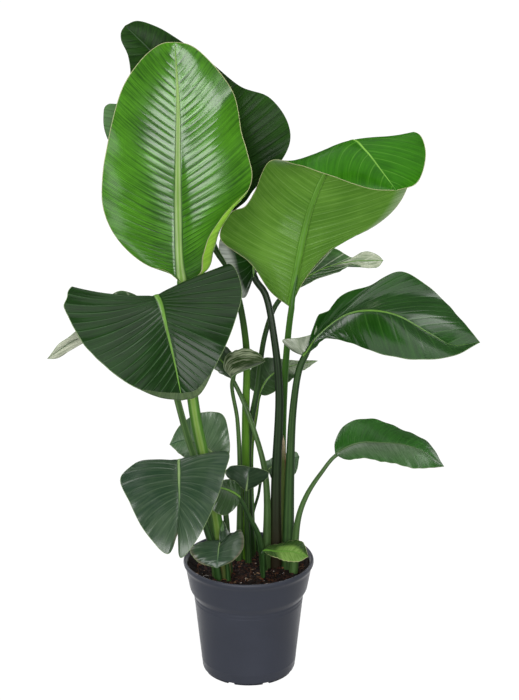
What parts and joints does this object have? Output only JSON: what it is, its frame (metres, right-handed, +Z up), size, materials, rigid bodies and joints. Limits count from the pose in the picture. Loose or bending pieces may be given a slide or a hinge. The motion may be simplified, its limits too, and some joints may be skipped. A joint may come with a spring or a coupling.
{
  "type": "potted bird of paradise",
  "caption": "House plant with large paddle-shaped leaves on long stalks that rise from the soil of a round, stepped, dark nursery pot.",
  "frame": {"origin": "centre of the flat disc in the middle of the pot's underside, which lies in the plane of the pot's standing ring", "axes": "+Z up along the pot's axis; -Y towards the viewer of the plant's best side; +X to the right as seen from there"},
  "size_m": [0.7453, 0.4268, 1.1783],
  "materials": {
    "bright_leaf": "satin",
    "light_leaf": "satin",
    "dark_leaf": "satin",
    "pale_leaf": "satin",
    "soil": "matte",
    "pot": "satin"
  },
  "bodies": {
    "root": {"leaf_top_front": "bright_leaf", "leaf_top_back": "dark_leaf", "leaf_arched_right": "light_leaf", "leaf_drooping_left": "dark_leaf", "leaf_behind_arch": "dark_leaf", "leaf_twisted_tip": "pale_leaf", "leaf_right": "dark_leaf", "leaf_low_right": "dark_leaf", "leaf_striped_curl": "pale_leaf", "leaf_tucked_left": "dark_leaf", "leaf_middle_back": "dark_leaf", "leaf_low_back": "dark_leaf", "leaf_low_left": "dark_leaf", "leaf_pot_front": "dark_leaf", "leaf_scoop": "dark_leaf", "leaf_low_middle": "dark_leaf", "leaf_behind_stems": "dark_leaf", "leaf_pot_right": "light_leaf", "leaf_pale_tip": "pale_leaf", "soil": "soil", "pot": "pot"}
  },
  "joints": []
}
